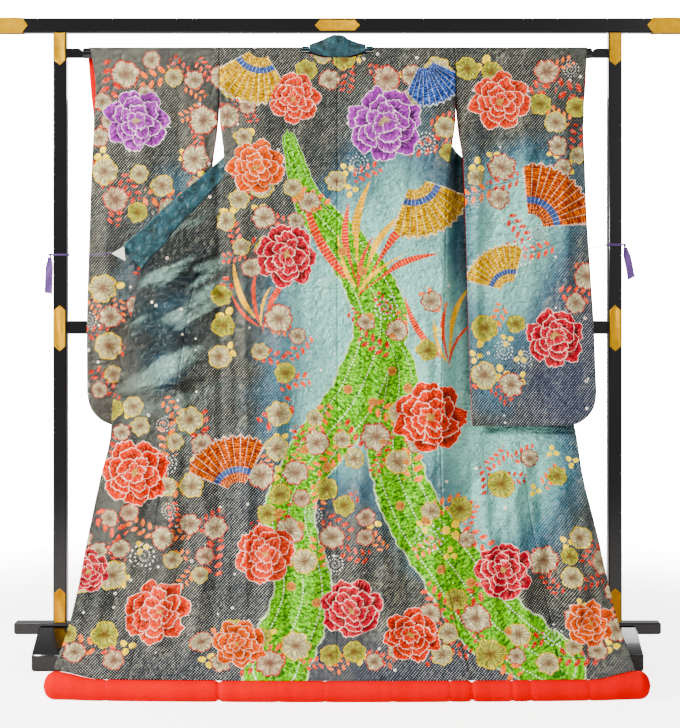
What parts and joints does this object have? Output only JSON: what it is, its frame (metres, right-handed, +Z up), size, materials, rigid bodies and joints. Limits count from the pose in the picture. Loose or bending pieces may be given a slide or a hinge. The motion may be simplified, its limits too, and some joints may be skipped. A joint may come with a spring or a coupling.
{
  "type": "uchikake wedding kimono on a kimono rack",
  "caption": "Full-length bridal over-kimono hung with its back to the viewer and its train spread, on a lacquered kimono rack with gilt fittings.",
  "frame": {"origin": "on the floor, at the middle of the footprint: under the top rail's middle, half way from the hem roll's front to the feet's backs", "axes": "+Z up, +X to the viewer's right as the garment's back is seen, +Y away from the viewer, from the garment to the rack"},
  "size_m": [2, 0.64, 1.7945],
  "materials": {
    "shibori_satin": "tie-dyed silk satin, teal to pale aqua",
    "red_lining": "plain red silk",
    "black_lacquer": "polished black lacquer",
    "gilt_fittings": "gilt, stamped and nailed",
    "purple_ties": "twisted cord and flat silk tape",
    "clips": "plain white"
  },
  "bodies": {
    "root": {"back_left": "shibori_satin", "back_right": "shibori_satin", "okumi_left": "shibori_satin", "okumi_right": "shibori_satin", "front_left": "shibori_satin", "front_right": "shibori_satin", "sleeve_left": "shibori_satin", "sleeve_right": "shibori_satin", "shoulder_left": "shibori_satin", "shoulder_right": "shibori_satin", "collar_neck": "shibori_satin", "collar_left": "shibori_satin", "collar_right": "shibori_satin", "collar_left_top": "shibori_satin", "collar_right_top": "shibori_satin", "hem_roll": "red_lining", "cuff_lining_left": "red_lining", "cuff_lining_right": "red_lining", "top_rail": "black_lacquer", "mid_bar": "black_lacquer", "bottom_rail": "black_lacquer", "rod": "black_lacquer", "post_left": "black_lacquer", "post_right": "black_lacquer", "foot_left": "black_lacquer", "foot_right": "black_lacquer", "rod_holder_left": "black_lacquer", "rod_holder_right": "black_lacquer", "rail_fitting_centre": "gilt_fittings", "rail_cap_left": "gilt_fittings", "rail_cap_right": "gilt_fittings", "post_fitting_foot_left": "gilt_fittings", "post_fitting_foot_right": "gilt_fittings", "post_fitting_mid_left": "gilt_fittings", "post_fitting_mid_right": "gilt_fittings", "post_fitting_top_left": "gilt_fittings", "post_fitting_top_right": "gilt_fittings", "tie_wrap_left": "purple_ties", "tie_wrap_right": "purple_ties", "tie_cord_left": "purple_ties", "tie_cord_right": "purple_ties", "tie_knot_left": "purple_ties", "tie_knot_right": "purple_ties", "tie_tail_left": "purple_ties", "tie_tail_right": "purple_ties", "clip_left": "clips", "clip_right": "clips"}
  },
  "joints": []
}
